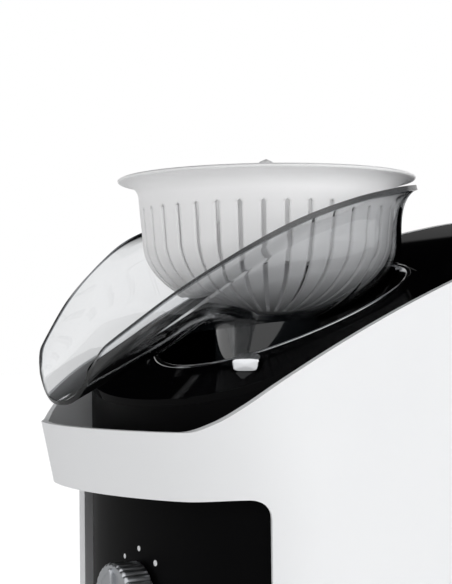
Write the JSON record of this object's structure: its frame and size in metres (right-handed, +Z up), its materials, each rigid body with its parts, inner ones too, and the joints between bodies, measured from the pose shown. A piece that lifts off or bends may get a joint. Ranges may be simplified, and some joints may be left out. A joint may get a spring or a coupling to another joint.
{
  "type": "centrifugal juicer",
  "caption": "Free-standing electric juicer with a white rounded shell, a sloping black deck and a lift-off citrus set: smoky beaked juice bowl, slotted strainer and ribbed reamer cone.",
  "frame": {"origin": "on the table under the middle of the part's box; the drive axis stands 61.25 mm in front of it", "axes": "+Z up, -Y towards the pouring beak, +X to the right for someone who faces the beak"},
  "size_m": [0.19, 0.3574, 0.27],
  "materials": {
    "white_abs": "satin white",
    "black_abs": "polished black",
    "chromed_trim": "polished",
    "grey_pp": "matt dark grey",
    "foot_rubber": "matt black",
    "zinc_steel": "zinc plated",
    "cast_aluminium": "as cast",
    "bearing_steel": "ground",
    "core_steel": "stacked sheet",
    "copper_wire": "enamelled copper",
    "board_laminate": "green board",
    "brushed_knob": "silver paint",
    "smoky_san": "clear smoky grey",
    "white_pp": "milky white"
  },
  "bodies": {
    "base": {"outer_shell": "white_abs", "deck_cover": "black_abs", "trim_ring": "chromed_trim", "bowl_catch": "chromed_trim", "front_panel": "black_abs", "base_plate": "grey_pp", "rubber_feet": "foot_rubber", "base_screws": "zinc_steel", "motor_top_plate": "cast_aluminium", "motor_bottom_plate": "cast_aluminium", "tie_rods": "zinc_steel", "motor_mounts": "foot_rubber", "motor_screws": "zinc_steel", "upper_bearing": "bearing_steel", "lower_bearing": "bearing_steel", "stator_core": "core_steel", "stator_coils": "copper_wire", "shaft_seal": "foot_rubber", "selector_switch": "grey_pp", "control_board": "board_laminate", "board_components": "grey_pp", "board_screws": "zinc_steel", "cord_gland": "foot_rubber"},
    "drive": {"drive_shaft": "bearing_steel", "motor_rotor": "core_steel", "cooling_fan": "grey_pp", "drive_coupling": "zinc_steel"},
    "knob": {"control_knob": "brushed_knob"},
    "bowl": {"juice_bowl": "smoky_san", "shaft_bush": "grey_pp"},
    "cone_drive": {"cone_shaft": "grey_pp"},
    "strainer": {"strainer_basket": "white_pp"},
    "cone": {"reamer_cone": "white_pp"}
  },
  "joints": [
    {"name": "drive_spin", "type": "hinge", "parent": "base", "child": "drive", "pos_m": [0, -0.06125, 0.1], "axis": [0, 0, 1], "continuous": true},
    {"name": "knob_turn", "type": "hinge", "parent": "base", "child": "knob", "pos_m": [0, -0.14925, 0.058], "axis": [0, 1, 0], "range_deg": [0, 240]},
    {"name": "bowl_lift", "type": "slide", "parent": "base", "child": "bowl", "axis": [0, 0, 1], "range_m": [0, 0.09]},
    {"name": "strainer_lift", "type": "slide", "parent": "bowl", "child": "strainer", "axis": [0, 0, 1], "range_m": [0, 0.07]},
    {"name": "shaft_spin", "type": "hinge", "parent": "bowl", "child": "cone_drive", "pos_m": [0, -0.06125, 0.19], "axis": [0, 0, 1], "continuous": true},
    {"name": "cone_spin", "type": "hinge", "parent": "strainer", "child": "cone", "pos_m": [0, -0.06125, 0.23], "axis": [0, 0, 1], "continuous": true}
  ],
  "couplings": [
    {"joint": "shaft_spin", "follows": "drive_spin", "ratio": 1},
    {"joint": "cone_spin", "follows": "drive_spin", "ratio": 1}
  ]
}
